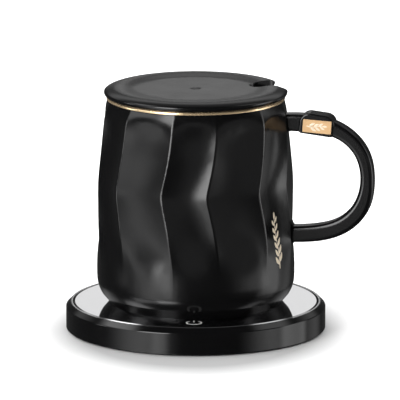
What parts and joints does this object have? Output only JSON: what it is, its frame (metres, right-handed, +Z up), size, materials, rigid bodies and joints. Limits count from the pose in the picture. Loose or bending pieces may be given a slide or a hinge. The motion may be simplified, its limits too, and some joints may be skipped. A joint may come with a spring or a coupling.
{
  "type": "electric mug warmer",
  "caption": "Round mirror-topped mug warmer with a touch key, carrying a fluted black mug with a squared handle and a dished lid that has a spoon notch.",
  "frame": {"origin": "centre of the bottom cover's underside; the rubber feet stand 0.5 mm below it", "axes": "+Z up, out of the warming face; -Y is the front, where the touch key is; +Y is the back, where the power socket is; the mug's handle points 10 degrees to the front of +X"},
  "size_m": [0.1425, 0.12, 0.1134],
  "materials": {
    "gloss_black_case": "polished black ABS",
    "black_cover": "fine moulded texture",
    "foot_rubber": "matt",
    "mirror_glass": "mirror-backed black glass",
    "bright_trim": "bright plated",
    "gasket": "matt adhesive foam",
    "spreader_metal": "bead blasted",
    "pressed_steel": "zinc plated",
    "mica": "pressed mica sheet",
    "heating_foil": "etched resistance foil",
    "fibre_pad": "ceramic fibre felt",
    "screw_steel": "zinc plated",
    "board": "solder mask over glass epoxy",
    "chip_black": "moulded epoxy",
    "capacitor_can": "drawn can",
    "spring_steel": "tinned wire",
    "clear_guide": "clear moulding",
    "led_white": "clear resin",
    "sensor_resin": "dipped epoxy",
    "fuse_body": "ceramic tube",
    "wire_sleeve": "silicone sleeve",
    "socket_shell": "nickel plated",
    "black_glaze": "satin black glaze",
    "gilt_plate": "brushed pale gold"
  },
  "bodies": {
    "warmer": {"top_housing": "gloss_black_case", "bottom_cover": "black_cover", "rubber_feet": "foot_rubber", "cover_screws": "screw_steel", "trim_ring": "bright_trim", "glass_panel": "mirror_glass", "glass_gasket": "gasket", "heat_spreader": "spreader_metal", "mica_upper": "mica", "mica_lower": "mica", "heater_element": "heating_foil", "clamp_plate": "pressed_steel", "clamp_screws": "screw_steel", "insulation_pad": "fibre_pad", "temperature_sensor": "sensor_resin", "thermal_fuse": "fuse_body", "fuse_clip": "pressed_steel", "control_board": "board", "board_screws": "screw_steel", "controller_chip": "chip_black", "power_transistor": "chip_black", "board_capacitors": "capacitor_can", "touch_spring": "spring_steel", "indicator_led": "led_white", "light_guide": "clear_guide", "heater_leads": "wire_sleeve", "sensor_lead": "wire_sleeve", "power_socket": "socket_shell"},
    "mug": {"mug_body": "black_glaze", "mug_handle": "black_glaze", "handle_plate": "gilt_plate"},
    "lid": {"lid": "black_glaze"}
  },
  "joints": [
    {"name": "mug_lift", "type": "slide", "parent": "warmer", "child": "mug", "axis": [0, 0, 1], "range_m": [0, 0.04]},
    {"name": "lid_lift", "type": "slide", "parent": "mug", "child": "lid", "axis": [0, 0, 1], "range_m": [0, 0.03]}
  ]
}
